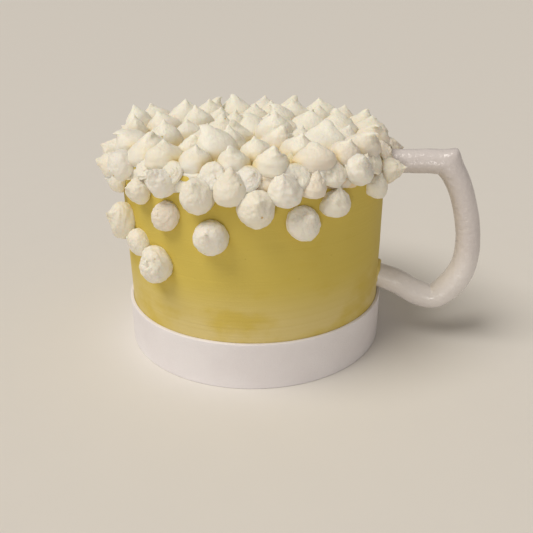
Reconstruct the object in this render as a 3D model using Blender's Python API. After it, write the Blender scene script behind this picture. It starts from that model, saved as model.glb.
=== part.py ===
"""Beer mug cake: a yellow buttercream cake with a white fondant band and handle under a head of meringues.

The cake stands on Z = 0 with its axis on Z, and the handle sticks out along +X. Lengths are in metres.
"""

import math
import random

import bmesh
import bpy
from mathutils import Matrix, Vector

# Cake and band
CAKE_RADIUS = 0.0744
CAKE_HEIGHT = 0.114
CAKE_EDGE = 0.003
CLEARANCE = 0.0003
BAND_HEIGHT = 0.027
BAND_THICKNESS = 0.0015
BAND_LIP = 0.0006
ROUND_SIDES = 72

# Handle: the middle of the rope as (x, z, radius), from its upper root to its lower root
HANDLE_ROUTE = (
    (0.0750, 0.1057, 0.0067),
    (0.0900, 0.1064, 0.0066),
    (0.1000, 0.1068, 0.0067),
    (0.1069, 0.1054, 0.0070),
    (0.1132, 0.0968, 0.0068),
    (0.1188, 0.0825, 0.0067),
    (0.1228, 0.0640, 0.0068),
    (0.1225, 0.0475, 0.0073),
    (0.1168, 0.0345, 0.0078),
    (0.1076, 0.0262, 0.0076),
    (0.0972, 0.0276, 0.0076),
    (0.0860, 0.0335, 0.0073),
    (0.0750, 0.0372, 0.0070),
)
HANDLE_STEPS = 3
HANDLE_SIDES = 12

# The upper bend is pinched to a corner at this station of the route
PINCH_STATION = 3
PINCH_HEIGHT = 0.0046
PINCH_LENGTH = 0.0036

# One piped meringue: (radius, height) as shares of its diameter and its height, and how far its tip bends
MERINGUE_PROFILE = ((0.42, 0.0), (0.52, 0.2), (0.51, 0.42), (0.38, 0.64), (0.14, 0.83), (0.0, 1.0))
MERINGUE_SIDES = 8
MERINGUE_SINK = 0.0012
TIP_BEND = 0.1
HEAD_TIP_LIFT = 0.05
LOOSE_TIP_LIFT = 0.12

# Meringues on the cake's top: rings from the rim inwards, each turned against the last
TOP_DIAMETER = 0.0201
TOP_PITCH = 0.0185
TOP_RINGS = 5
TOP_RIM_RADIUS = 0.0660
TOP_RIM_START = -85.4
TOP_RING_TURN = 94.0
TOP_RING_STEP = 0.0162
TOP_LEAN = (-0.05, 0.3)

# Small meringues that fill the corner between the top and the wall
CORNER_COUNT = 25
CORNER_DIAMETER = 0.0148
CORNER_INSET = 0.0008
CORNER_RISE = (0.6, 1.2)
CORNER_HEIGHT = (0.36, 0.56)

# Heights of the rim's row, from its first meringue on: the photo's skyline gives those at the back
RIM_HEIGHTS = (
    0.0150, 0.0145, 0.0140, 0.0144, 0.0150, 0.0160, 0.0145, 0.0142, 0.0146, 0.0172, 0.0174,
    0.0155, 0.0176, 0.0174, 0.0172, 0.0172, 0.0202, 0.0170, 0.0148, 0.0142, 0.0138, 0.0132,
)

# Unevenness: shares of a step, metres, shares of the diameter, a share of the rim's heights, and the other heights
# as shares of the diameter
STEP_JITTER = 0.14
REACH_JITTER = 0.0022
SIZE_SPREAD = (0.84, 1.12)
HEIGHT_SPREAD = (0.96, 1.04)
TOP_HEIGHT = (0.76, 0.98)
FRINGE_HEIGHT = (0.76, 1.0)
LOOSE_HEIGHT = (0.62, 0.84)
SEED = 7

# Meringues on the front half of the wall: angle about Z in degrees, drop below the rim, diameter, and how many
# degrees above level each one points
FRINGE = (
    (-12.0, 0.0095, 0.0150, 8.0),
    (-23.0, 0.0165, 0.0145, 66.0),
    (-36.0, 0.0040, 0.0165, 46.0),
    (-47.0, 0.0188, 0.0165, 70.0),
    (-56.5, 0.0088, 0.0138, 76.0),
    (-67.0, 0.0090, 0.0178, 60.0),
    (-77.5, 0.0160, 0.0186, 36.0),
    (-86.3, 0.0085, 0.0182, 63.0),
    (-98.0, 0.0122, 0.0172, 48.0),
    (-112.5, 0.0080, 0.0150, 55.0),
    (-126.0, 0.0135, 0.0145, 22.0),
    (-138.0, 0.0050, 0.0165, 42.0),
    (-152.0, 0.0085, 0.0160, 6.0),
    (-166.0, 0.0060, 0.0160, 30.0),
    (-179.0, 0.0100, 0.0165, 30.0),
    (-149.0, 0.0145, 0.0145, 12.0),
)
LOOSE = (
    (-60.4, 0.0240, 0.0168, 24.0),
    (-93.5, 0.0300, 0.0170, 16.0),
    (-112.6, 0.0225, 0.0155, 16.0),
    (-118.5, 0.0500, 0.0182, 12.0),
    (-130.0, 0.0420, 0.0145, 12.0),
    (-142.5, 0.0352, 0.0187, 14.0),
)

# The back half repeats the front's rows between these angles, mirrored, turned on and lifted
BACK_START = 20.0
BACK_END = 175.0
BACK_SHIFT = 4.0
BACK_LIFT = 0.003

# What joins the head: a thin cap with a short skirt, cut open round the handle's upper root
CAP_THICKNESS = 0.0024
CAP_SKIRT = 0.009
NOTCH_MARGIN = 0.0012
NOTCH_DEPTH = 0.02
NOTCH_SIDES = 16

SAME_POINT = 1e-6
SHARP_ANGLE = math.radians(40)


def clear_scene():
    """Remove every object that the file opened with."""
    for thing in list(bpy.data.objects):
        bpy.data.objects.remove(thing, do_unlink=True)


def material(name, colour, roughness):
    """Return a Principled material with a plain colour."""
    made = bpy.data.materials.new(name)
    made.use_nodes = True
    shader = made.node_tree.nodes["Principled BSDF"]
    shader.inputs["Base Color"].default_value = (*colour, 1.0)
    shader.inputs["Roughness"].default_value = roughness
    shader.inputs["Metallic"].default_value = 0.0
    return made


def add_object(name, shape, finish):
    """Turn a bmesh into a named, smooth-shaded object."""
    bmesh.ops.recalc_face_normals(shape, faces=shape.faces)
    mesh = bpy.data.meshes.new(name)
    shape.to_mesh(mesh)
    shape.free()
    mesh.shade_smooth()
    mesh.set_sharp_from_angle(angle=SHARP_ANGLE)
    made = bpy.data.objects.new(name, mesh)
    made.data.materials.append(finish)
    bpy.context.collection.objects.link(made)
    return made


def turned(profile, sides, closed=False):
    """Turn (radius, height) points about Z into a bmesh; closed joins the last point to the first."""
    shape = bmesh.new()
    points = [shape.verts.new((radius, 0.0, height)) for radius, height in profile]
    followers = points[1:] + points[:1] if closed else points[1:]
    edges = [shape.edges.new(pair) for pair in zip(points, followers)]
    bmesh.ops.spin(shape, geom=points + edges, cent=(0, 0, 0), axis=(0, 0, 1), angle=math.tau, steps=sides)
    bmesh.ops.remove_doubles(shape, verts=shape.verts, dist=SAME_POINT)
    return shape


def add_cylinder(shape, radius, height, sides):
    """Add a closed cylinder to a bmesh, centred on the origin along Z."""
    bmesh.ops.create_cone(
        shape, cap_ends=True, segments=sides, radius1=radius, radius2=radius, depth=height)


def cake(finish):
    """The solid cake: a straight cylinder with its top edge rounded."""
    shape = bmesh.new()
    add_cylinder(shape, CAKE_RADIUS, CAKE_HEIGHT, ROUND_SIDES)
    bmesh.ops.translate(shape, verts=shape.verts, vec=(0, 0, CAKE_HEIGHT / 2))
    rim = [edge for edge in shape.edges if all(vert.co.z > CAKE_HEIGHT / 2 for vert in edge.verts)]
    bmesh.ops.bevel(shape, geom=rim, offset=CAKE_EDGE, segments=2, profile=0.5, affect="EDGES")
    return add_object("cake", shape, finish)


def fondant_band(finish):
    """The strip of fondant round the foot of the cake, with a soft upper lip."""
    inner = CAKE_RADIUS + CLEARANCE
    outer = inner + BAND_THICKNESS
    profile = (
        (inner, 0.0),
        (outer, 0.0),
        (outer, BAND_HEIGHT - BAND_LIP),
        (outer - BAND_LIP, BAND_HEIGHT),
        (inner, BAND_HEIGHT),
    )
    return add_object("fondant_band", turned(profile, ROUND_SIDES, closed=True), finish)


def smooth_route(stations, steps):
    """Return the points of a Catmull-Rom curve through the stations."""
    padded = [stations[0] * 2 - stations[1], *stations, stations[-1] * 2 - stations[-2]]
    route = []
    for index in range(1, len(padded) - 2):
        before, start, end, after = padded[index - 1:index + 3]
        for step in range(steps):
            t = step / steps
            route.append(0.5 * (
                2 * start + (end - before) * t
                + (2 * before - 5 * start + 4 * end - after) * t ** 2
                + (3 * start - before - 3 * end + after) * t ** 3))
    return route + [stations[-1]]


def handle(finish):
    """A rope of fondant bent into a mug's handle, pinched to a corner at its upper bend."""
    route = smooth_route([Vector(station) for station in HANDLE_ROUTE], HANDLE_STEPS)
    corner_x, corner_z, _ = HANDLE_ROUTE[PINCH_STATION]
    corner = Vector((corner_x, 0.0, corner_z))
    shape = bmesh.new()
    rings = []
    for index, (x, z, radius) in enumerate(route):
        ahead = route[min(index + 1, len(route) - 1)]
        behind = route[max(index - 1, 0)]
        run = Vector((ahead.x - behind.x, 0.0, ahead.y - behind.y)).normalized()
        if index in (0, len(route) - 1):
            run = Vector((1.0 if index == 0 else -1.0, 0.0, 0.0))
        outward = Vector((-run.z, 0.0, run.x))
        centre = Vector((x, 0.0, z))
        pinch = PINCH_HEIGHT * math.exp(-((centre - corner).length / PINCH_LENGTH) ** 2)
        ring = []
        for side in range(HANDLE_SIDES):
            angle = math.tau * side / HANDLE_SIDES
            peak = pinch * max(math.cos(angle), 0.0) ** 3
            across = Vector((0, radius * math.sin(angle), 0))
            ring.append(shape.verts.new(centre + outward * (radius * math.cos(angle) + peak) + across))
        rings.append(ring)
    for ring, following in zip(rings, rings[1:]):
        for side in range(HANDLE_SIDES):
            after = (side + 1) % HANDLE_SIDES
            shape.faces.new((ring[side], ring[after], following[after], following[side]))
    shape.faces.new(rings[0])
    shape.faces.new(rings[-1])
    return add_object("handle", shape, finish)


def direction_out(angle):
    """Return the level direction that leaves the cake's axis at an angle in radians."""
    return Vector((math.cos(angle), math.sin(angle), 0.0))


def wall_meringue(angle, drop, diameter, rise, share):
    """Place a meringue on the cake's wall; share is its height as a share of its diameter."""
    out = direction_out(math.radians(angle))
    tilt = math.radians(rise)
    foot = out * CAKE_RADIUS + Vector((0, 0, CAKE_HEIGHT - drop))
    direction = out * math.cos(tilt) + Vector((0, 0, math.sin(tilt)))
    return foot, direction, diameter, diameter * share


def both_sides(rows):
    """Yield the front's rows, and again mirrored and shifted for the back."""
    yield from rows
    for angle, drop, diameter, rise in rows:
        if abs(angle) < BACK_END:
            shift = BACK_SHIFT if abs(angle) > BACK_START else 0.0
            yield shift - angle, max(drop - BACK_LIFT, BACK_LIFT), diameter, rise


def head_places(draw):
    """Return the foot, direction, diameter and height of every meringue in the head."""
    places = []
    for ring in range(TOP_RINGS):
        radius = TOP_RIM_RADIUS - ring * TOP_RING_STEP
        count = max(round(math.tau * radius / TOP_PITCH), 1)
        start = math.radians(TOP_RIM_START + ring * TOP_RING_TURN)
        for index in range(count):
            out = direction_out(start + math.tau * (index + draw.uniform(-STEP_JITTER, STEP_JITTER)) / count)
            foot = out * (radius + draw.uniform(-REACH_JITTER, REACH_JITTER)) + Vector((0, 0, CAKE_HEIGHT))
            lean = out * draw.uniform(*TOP_LEAN) * radius / TOP_RIM_RADIUS
            diameter = TOP_DIAMETER * draw.uniform(*SIZE_SPREAD)
            height = diameter * draw.uniform(*TOP_HEIGHT)
            if ring == 0:
                height = RIM_HEIGHTS[index] * draw.uniform(*HEIGHT_SPREAD)
            places.append((foot, (lean + Vector((0, 0, 1))).normalized(), diameter, height))
    for index in range(CORNER_COUNT):
        out = direction_out(math.tau * (index + 0.5 + draw.uniform(-STEP_JITTER, STEP_JITTER)) / CORNER_COUNT)
        foot = out * (CAKE_RADIUS - CORNER_INSET) + Vector((0, 0, CAKE_HEIGHT - CORNER_INSET))
        direction = (out + Vector((0, 0, draw.uniform(*CORNER_RISE)))).normalized()
        diameter = CORNER_DIAMETER * draw.uniform(*SIZE_SPREAD)
        places.append((foot, direction, diameter, diameter * draw.uniform(*CORNER_HEIGHT)))
    places.extend(wall_meringue(*row, draw.uniform(*FRINGE_HEIGHT)) for row in both_sides(FRINGE))
    return places


def loose_places(draw):
    """Return the foot, direction, diameter and height of every meringue that sits alone on the wall."""
    return [wall_meringue(*row, draw.uniform(*LOOSE_HEIGHT)) for row in both_sides(LOOSE)]


def meringue(place, draw, lift):
    """Model one piped meringue: an onion with a pulled, bent tip and a foot that is sunk a little."""
    foot, direction, diameter, height = place
    sideways = [draw.uniform(-TIP_BEND, TIP_BEND) for _ in range(2)]
    bend = Vector((*sideways, lift)) * diameter
    shape = turned([(0.0, 0.0)] + [(r * diameter, h * height) for r, h in MERINGUE_PROFILE], MERINGUE_SIDES)
    frame = direction.to_track_quat("Z", "Y").to_matrix() @ Matrix.Rotation(draw.uniform(0, math.tau), 3, "Z")
    for vert in shape.verts:
        share = vert.co.z / height
        vert.co = frame @ vert.co + foot - direction * MERINGUE_SINK + bend * share ** 2
    return shape


def apply_boolean(target, operation, operand):
    """Join a collection to the target, or cut an object out of it, and apply the result."""
    step = target.modifiers.new("step", "BOOLEAN")
    step.operation = operation
    step.solver = "EXACT"
    if operation == "UNION":
        step.operand_type = "COLLECTION"
        step.collection = operand
    else:
        step.object = operand
    bpy.context.view_layer.objects.active = target
    bpy.ops.object.modifier_apply(modifier="step")


def keep_outer_shell(target):
    """Fill any hollow that joining sealed and drop any loose scrap: only the longest shell stays."""
    shape = bmesh.new()
    shape.from_mesh(target.data)
    unseen = set(shape.verts)
    shells = []
    while unseen:
        shell = {unseen.pop()}
        edge_of_shell = list(shell)
        while edge_of_shell:
            vert = edge_of_shell.pop()
            found = {edge.other_vert(vert) for edge in vert.link_edges} & unseen
            unseen -= found
            shell |= found
            edge_of_shell.extend(found)
        shells.append(shell)
    outer = max(shells, key=len)
    bmesh.ops.delete(shape, geom=[vert for vert in shape.verts if vert not in outer], context="VERTS")
    shape.to_mesh(target.data)
    shape.free()


def cutter(name, shape, finish):
    """Add a shape that only cuts others."""
    made = add_object(name, shape, finish)
    made.hide_render = True
    made.display_type = "WIRE"
    return made


def cake_room(finish):
    """A cutter one clearance larger than the cake, which fits the meringues to its wall and top."""
    radius = CAKE_RADIUS + CLEARANCE
    height = CAKE_HEIGHT + CLEARANCE
    shape = bmesh.new()
    add_cylinder(shape, radius, height * 2, ROUND_SIDES)
    return cutter("cake_room", shape, finish)


def handle_room(finish):
    """A cutter that keeps the head clear of the handle's upper root."""
    x, z, radius = HANDLE_ROUTE[0]
    room = radius + NOTCH_MARGIN
    shape = bmesh.new()
    add_cylinder(shape, room, NOTCH_DEPTH, NOTCH_SIDES)
    place = Matrix.Translation((x + NOTCH_DEPTH / 4, 0, z)) @ Matrix.Rotation(math.pi / 2, 4, "Y")
    bmesh.ops.transform(shape, matrix=place, verts=shape.verts)
    return cutter("handle_room", shape, finish)


def head_core():
    """The plain body that joins the head's meringues: the cake's top and rim, grown by the cap."""
    outer = CAKE_RADIUS + CLEARANCE + CAP_THICKNESS
    high = CAKE_HEIGHT + CLEARANCE + CAP_THICKNESS
    low = CAKE_HEIGHT - CAP_SKIRT
    soft = CAP_THICKNESS / 2
    profile = ((0.0, low), (outer, low), (outer, high - soft), (outer - soft, high), (0.0, high))
    return turned(profile, ROUND_SIDES)


def meringue_head(finish):
    """All the meringues on the top and round the rim, joined as one piece."""
    draw = random.Random(SEED)
    head = add_object("meringue_head", head_core(), finish)
    group = bpy.data.collections.new("head_pieces")
    bpy.context.scene.collection.children.link(group)
    for place in head_places(draw):
        piece = add_object("head_piece", meringue(place, draw, HEAD_TIP_LIFT), finish)
        bpy.context.collection.objects.unlink(piece)
        group.objects.link(piece)
    apply_boolean(head, "UNION", group)
    for piece in list(group.objects):
        bpy.data.objects.remove(piece, do_unlink=True)
    bpy.data.collections.remove(group)
    for room in (cake_room(finish), handle_room(finish)):
        apply_boolean(head, "DIFFERENCE", room)
        bpy.data.objects.remove(room, do_unlink=True)
    keep_outer_shell(head)


def loose_meringues(finish):
    """The meringues that sit alone on the wall, as if foam were running down."""
    draw = random.Random(SEED + 1)
    room = cake_room(finish)
    for number, place in enumerate(loose_places(draw), start=1):
        piece = add_object(f"loose_meringue_{number:02d}", meringue(place, draw, LOOSE_TIP_LIFT), finish)
        apply_boolean(piece, "DIFFERENCE", room)
    bpy.data.objects.remove(room, do_unlink=True)


def main():
    """Build the whole cake."""
    clear_scene()
    buttercream = material("yellow_buttercream", (0.62, 0.50, 0.15), 0.55)
    fondant = material("white_fondant", (0.80, 0.76, 0.72), 0.45)
    foam = material("white_meringue", (0.86, 0.82, 0.74), 0.7)
    cake(buttercream)
    fondant_band(fondant)
    handle(fondant)
    meringue_head(foam)
    loose_meringues(foam)


main()
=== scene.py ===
# %% [markdown]
# # A cake shaped like a mug of beer
#
# The cake is a short, wide cylinder under yellow buttercream. Piped meringues lie on top as foam and run over the
# rim, a strip of white fondant goes round the foot, and a rope of fondant is the mug's handle. Each piece is modelled
# here in the order in which a baker puts it on, and every finish is made from nodes.
#
# The imported model is loaded first. Its solids share this scene's frame, so each new piece is built in its place, in
# metres, and then hides the solid that it stands for.

# %% Load the imported model
import math
import random

import bmesh
import bpy
import numpy as np
from mathutils import Matrix, Vector


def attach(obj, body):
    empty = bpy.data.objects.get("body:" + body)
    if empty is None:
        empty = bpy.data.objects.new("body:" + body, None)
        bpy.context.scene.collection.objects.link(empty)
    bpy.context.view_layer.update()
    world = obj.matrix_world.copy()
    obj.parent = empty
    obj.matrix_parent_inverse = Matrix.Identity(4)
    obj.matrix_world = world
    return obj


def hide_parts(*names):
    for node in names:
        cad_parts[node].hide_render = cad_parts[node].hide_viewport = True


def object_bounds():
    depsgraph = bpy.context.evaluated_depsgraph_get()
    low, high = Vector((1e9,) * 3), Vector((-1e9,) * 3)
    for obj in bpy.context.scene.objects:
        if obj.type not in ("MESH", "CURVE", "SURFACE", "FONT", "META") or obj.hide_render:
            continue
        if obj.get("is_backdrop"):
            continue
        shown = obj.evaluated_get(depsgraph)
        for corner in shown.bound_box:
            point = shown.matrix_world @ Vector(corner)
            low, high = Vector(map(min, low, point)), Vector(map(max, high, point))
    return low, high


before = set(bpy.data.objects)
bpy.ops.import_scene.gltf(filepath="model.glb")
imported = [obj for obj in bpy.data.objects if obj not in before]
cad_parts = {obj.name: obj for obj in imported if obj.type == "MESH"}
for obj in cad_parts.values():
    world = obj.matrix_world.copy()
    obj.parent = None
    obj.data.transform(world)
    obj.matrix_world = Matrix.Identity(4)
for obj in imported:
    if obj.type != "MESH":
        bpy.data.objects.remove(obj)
solid_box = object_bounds()
print("solids:", len(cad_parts), "box in mm:", [[round(1000 * v, 1) for v in corner] for corner in solid_box])

# %% [markdown]
# ## The view
#
# A photograph's view can be guessed or worked out. Here it was worked out from the ellipses of the strip's edges and
# the rim: a 41.5 mm lens that looks 24 degrees down from a little over two cake widths away. The numbers are lengths
# in units of the strip's radius, so one value sets the scale. The frame of the parts is turned by 12 degrees against
# the camera, because the handle lies on +X.

# %% Camera
STRIP_RADIUS = 0.0762
LENS, SENSOR_WIDTH = 41.49, 36.0
NEAREST_SEEN = 0.01
DISTANCE = 4.5386 * STRIP_RADIUS
EYE_HEIGHT = 2.5063 * STRIP_RADIUS
PITCH, ROLL, YAW, TURN = (math.radians(angle) for angle in (24.064, -0.398, 1.150, 12.0))

ahead = Vector((math.sin(YAW) * math.cos(PITCH), math.cos(YAW) * math.cos(PITCH), -math.sin(PITCH)))
level = Vector((math.cos(YAW), -math.sin(YAW), 0.0))
upward = level.cross(ahead)
right = math.cos(ROLL) * level + math.sin(ROLL) * upward
above = math.cos(ROLL) * upward - math.sin(ROLL) * level
stand = Matrix((right, above, -ahead)).transposed().to_4x4()
stand.translation = (0.0, -DISTANCE, EYE_HEIGHT)

lens = bpy.data.cameras.new("view")
lens.lens = LENS
lens.sensor_width = SENSOR_WIDTH
lens.clip_start = NEAREST_SEEN
camera = bpy.data.objects.new("view", lens)
bpy.context.scene.collection.objects.link(camera)
camera.matrix_world = Matrix.Rotation(TURN, 4, "Z") @ stand
bpy.context.scene.camera = camera
print("camera at", [round(v, 3) for v in camera.matrix_world.translation])

# %% [markdown]
# ## Nodes written as sums
#
# A finish is a network of small nodes, and a network that is built link by link hides what it works out. The two
# classes below let a finish be written as an expression: Channel wraps one output and turns +, - and * into Math
# nodes, and Finish holds a material and adds any other node.

# %% Nodes as sums: one output
class Channel:
    """One output of a node. Arithmetic on it adds Math nodes."""

    def __init__(self, finish, socket):
        self.finish = finish
        self.socket = socket

    def math(self, operation, *values):
        settings = {"operation": operation}
        return self.finish.node("ShaderNodeMath", settings, dict(enumerate(values)))

    def __add__(self, other):
        return self.math("ADD", self, other)

    def __sub__(self, other):
        return self.math("SUBTRACT", self, other)

    def __rsub__(self, other):
        return self.math("SUBTRACT", other, self)

    def __mul__(self, other):
        return self.math("MULTIPLY", self, other)

    __radd__ = __add__
    __rmul__ = __mul__

    def between(self, low, high):
        """0 below low, 1 above high and smooth in between; low may be the larger one."""
        settings = {"interpolation_type": "SMOOTHSTEP"}
        return self.finish.node("ShaderNodeMapRange", settings, {0: self, 1: low, 2: high})

# %% Nodes as sums: a material
class Finish:
    """A material with a Principled shader. Plain numbers go on the shader's own sockets."""

    def __init__(self, name, slot, **constants):
        self.slot = slot
        self.material = bpy.data.materials.new(name)
        self.material.use_nodes = True
        self.nodes = self.material.node_tree.nodes
        self.links = self.material.node_tree.links
        self.shader = self.nodes["Principled BSDF"]
        for socket, value in constants.items():
            self.shader.inputs[socket.replace("_", " ")].default_value = value

    def feed(self, socket, value):
        if isinstance(value, Channel):
            self.links.new(value.socket, socket)
        else:
            socket.default_value = value

    def node(self, kind, settings=None, values=None, output=0):
        made = self.nodes.new(kind)
        for name, setting in (settings or {}).items():
            setattr(made, name, setting)
        for name, value in (values or {}).items():
            self.feed(made.inputs[name], value)
        return Channel(self, made.outputs[output])

    def place(self, stretch=(1.0, 1.0, 1.0)):
        """The point in the object's own metres, stretched along each axis."""
        point = self.node("ShaderNodeTexCoord", output="Object")
        return self.stretched(point, stretch)

    def stretched(self, point, stretch):
        return self.node("ShaderNodeVectorMath", {"operation": "MULTIPLY"}, {0: point, 1: stretch})

    def height(self, point=None):
        """The Z of a point, or how high the point lies on the object."""
        return self.node("ShaderNodeSeparateXYZ", None, {0: point or self.place()}, 2)

    def noise(self, point, scale, detail=2.0, rough=0.5):
        return self.node("ShaderNodeTexNoise", None, {
            "Vector": point, "Scale": scale, "Detail": detail, "Roughness": rough})

    def spots(self, point, scale):
        """The distance from each cell's own point, so small values are round spots."""
        return self.node("ShaderNodeTexVoronoi", None, {"Vector": point, "Scale": scale})

    def mix(self, share, first, second):
        """Blend two colours, each a channel or a plain colour."""
        colours = [c if isinstance(c, Channel) else (*c, 1.0) for c in (first, second)]
        return self.node("ShaderNodeMix", {"data_type": "RGBA"}, {0: share, 6: colours[0], 7: colours[1]}, 2)

    def surface(self, colour, roughness, height, depth):
        """Set what varies: the colour, the roughness and a bump whose height of 1 is depth metres."""
        bump = self.node("ShaderNodeBump", None, {"Height": height, "Distance": depth, "Strength": 1.0})
        for socket, value in (("Base Color", colour), ("Roughness", roughness), ("Normal", bump)):
            self.feed(self.shader.inputs[socket], value)
        print("finish", self.material.name, "has", len(self.nodes), "nodes")

# %% Nodes as sums: colours
def tone(red, green, blue):
    """Turn a colour read from a screen, 0 to 255, into the linear values that nodes take."""
    return tuple(((v / 255 + 0.055) / 1.055) ** 2.4 for v in (red, green, blue))


print("a screen's grey of 128 in linear values:", round(tone(128, 128, 128)[0], 3))

# %% [markdown]
# ## Yellow buttercream
#
# Buttercream is spread with a knife and then scraped smooth while the cake turns. The scraper leaves fine level
# streaks, so the noise is stretched: it changes slowly round the cake and quickly up it. Where the cream is thicker
# it looks deeper in colour, in patches a few centimetres wide. Near the foot it is painted paler, as painted light
# bounced up from the floor. A few burst air bubbles leave small pits, which are painted darker, as painted shade.

# %% Finish: buttercream
WIDE_STREAKS, FINE_STREAKS = (9.0, 9.0, 900.0), (30.0, 30.0, 2600.0)
PATCH_STRETCH, PATCH_SCALE = (1.0, 1.0, 1.6), 26.0
CREAM_GRAIN, PIT_SCALE, PIT_AREAS = 1500.0, 230.0, 60.0
# Painted bounce light: the cream is painted paler below these heights, in the second colour on the next line.
PAINTED_BOUNCE_BELOW, NO_PAINTED_BOUNCE_ABOVE = 0.030, 0.062
CREAM, PAINTED_BOUNCE_CREAM, THICK_CREAM = tone(213, 191, 92), tone(219, 200, 134), tone(209, 184, 76)
# The second colour here is painted shade for the pits.
STREAK_CREAM, PAINTED_PIT_SHADE = tone(203, 180, 86), tone(176, 150, 62)
CREAM_RELIEF = 0.0003

buttercream = Finish("buttercream", "yellow_buttercream", Specular_IOR_Level=0.3, IOR=1.45)
streaks = buttercream.noise(buttercream.place(WIDE_STREAKS), 1.0, 3.0)
fine_streaks = buttercream.noise(buttercream.place(FINE_STREAKS), 1.0, 2.0)
patches = buttercream.noise(buttercream.place(PATCH_STRETCH), PATCH_SCALE, 4.0, 0.55).between(0.46, 0.68)
grain = buttercream.noise(buttercream.place(), CREAM_GRAIN, 3.0)
pits = buttercream.spots(buttercream.place(), PIT_SCALE).between(0.10, 0.04)
pits = pits * buttercream.noise(buttercream.place(), PIT_AREAS, 1.0).between(0.60, 0.66)
# Painted bounce light: the cream is painted paler towards the foot.
cream = buttercream.mix(buttercream.height().between(PAINTED_BOUNCE_BELOW, NO_PAINTED_BOUNCE_ABOVE), PAINTED_BOUNCE_CREAM, CREAM)
cream = buttercream.mix(patches * 0.8, cream, THICK_CREAM)
cream = buttercream.mix((streaks - 0.3) * 0.4, cream, STREAK_CREAM)
# Painted shade: the pits are painted darker.
cream = buttercream.mix(pits * 0.35, cream, PAINTED_PIT_SHADE)
relief = streaks * 0.55 + fine_streaks * 0.25 + grain * 0.2 - pits * 0.5
buttercream.surface(cream, 0.52 + 0.2 * grain, relief, CREAM_RELIEF)

# %% [markdown]
# ## White fondant
#
# Rolled fondant is sugar dough. The strip has dried to a dull skin, and the starch that it was rolled on leaves a
# fine speckle. The handle was rolled in damp hands, so it shines, and its lower part is painted paler, as painted
# light. Both come from one recipe: the roughness and the bump vary at the scale of grains, over soft dents from the
# fingers. A clear coat could give the shine too, but here the skin itself is glossy, so that its beads break up the
# light.

# %% Finish: fondant
DENTS, CLOUDS, BEADS, SPECKLE, POWDER = 55.0, 32.0, 360.0, 1100.0, 2600.0
# Painted light: the rope is painted paler below these heights, in the second colour on the next line.
PAINTED_LIGHT_BELOW, NO_PAINTED_LIGHT_ABOVE = 0.036, 0.068
POWDER_TONE, PAINTED_LIGHT_TONE = tone(238, 236, 235), tone(240, 235, 232)
DOUGH_RELIEF = 0.0005


def sugar_dough(name, light, dark, dullness, unevenness, painted_light_low, **constants):
    """Fondant between two tones, with its low part painted paler, as painted light, by the last share given."""
    dough = Finish(name, "white_fondant", **constants)
    dents = dough.noise(dough.place(), DENTS, 2.0)
    speckle = dough.noise(dough.place(), SPECKLE, 2.0)
    beads = dough.noise(dough.place(), BEADS, 2.0)
    powder = dough.noise(dough.place(), POWDER, 1.0).between(0.6, 0.72)
    clouds = dough.noise(dough.place(), CLOUDS, 3.0).between(0.35, 0.7)
    sugar = dough.mix(clouds, light, dark)
    sugar = dough.mix(powder * 0.3, sugar, POWDER_TONE)
    # Painted light: the low part is painted paler.
    sugar = dough.mix(dough.height().between(NO_PAINTED_LIGHT_ABOVE, PAINTED_LIGHT_BELOW) * painted_light_low, sugar, PAINTED_LIGHT_TONE)
    relief = dents * 0.7 + speckle * 0.3 + beads * unevenness
    dough.surface(sugar, dullness + 0.2 * speckle + 0.1 * powder, relief, DOUGH_RELIEF)
    return dough


dry_fondant = sugar_dough("dry_fondant", tone(237, 233, 235), tone(232, 227, 229), dullness=0.42, unevenness=0.1,
                          painted_light_low=0.0, Specular_IOR_Level=0.35)
moist_fondant = sugar_dough("moist_fondant", tone(217, 210, 208), tone(211, 203, 201), dullness=0.05,
                            unevenness=0.8, painted_light_low=0.7, IOR=1.5, Specular_IOR_Level=0.6)

# %% [markdown]
# ## Meringue
#
# Meringue is whipped egg white and sugar, piped and dried in a cool oven. It is matt, ivory rather than white, and
# full of tiny bubbles. The nozzle leaves faint turns round each one and the pull of the bag leaves wrinkles at its
# tip, so this finish needs to know where on its own meringue a point is. Each meringue carries that as an attribute
# called own_place, in units of its own width. own_tone holds one random number for each meringue, and on the web a
# number above 1 makes it tan. The wrinkles are painted darker, as painted shade. The heap is painted whiter high up,
# as painted light from above, and low near the cream it is painted yellow, as painted light reflected from the cream.

# %% Finish: meringue
TURNS, WRINKLES, FOLDS = (1.2, 1.2, 15.0), (13.0, 13.0, 5.0), 3.2
BUBBLES, PINHOLES, PINHOLE_AREAS = 1900.0, 150.0, 47.0
WHITE, IVORY, ROSY, TAN = tone(243, 239, 229), tone(240, 233, 214), tone(236, 222, 210), tone(241, 214, 172)
# The first colour here is painted shade for the wrinkles.
WRINKLE_SHADE, PINHOLE_TONE = tone(226, 217, 197), tone(220, 180, 96)
# Painted light: the first colour is painted light on the top of the heap, the second painted yellow light reflected
# from the cream.
PAINTED_TOP_LIGHT, PAINTED_CREAM_REFLECTION = tone(254, 249, 233), tone(238, 214, 130)
TOP_LIGHT_FROM, TOP_LIGHT_FULL_FROM = 0.118, 0.130
# Heights and radii within which the meringues are painted yellow, as painted light reflected from the cream.
REFLECTION_BELOW, NO_REFLECTION_ABOVE, REFLECTION_WITHIN, NO_REFLECTION_BEYOND = 0.1155, 0.1235, 0.069, 0.073
MERINGUE_RELIEF = 0.0006

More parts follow.
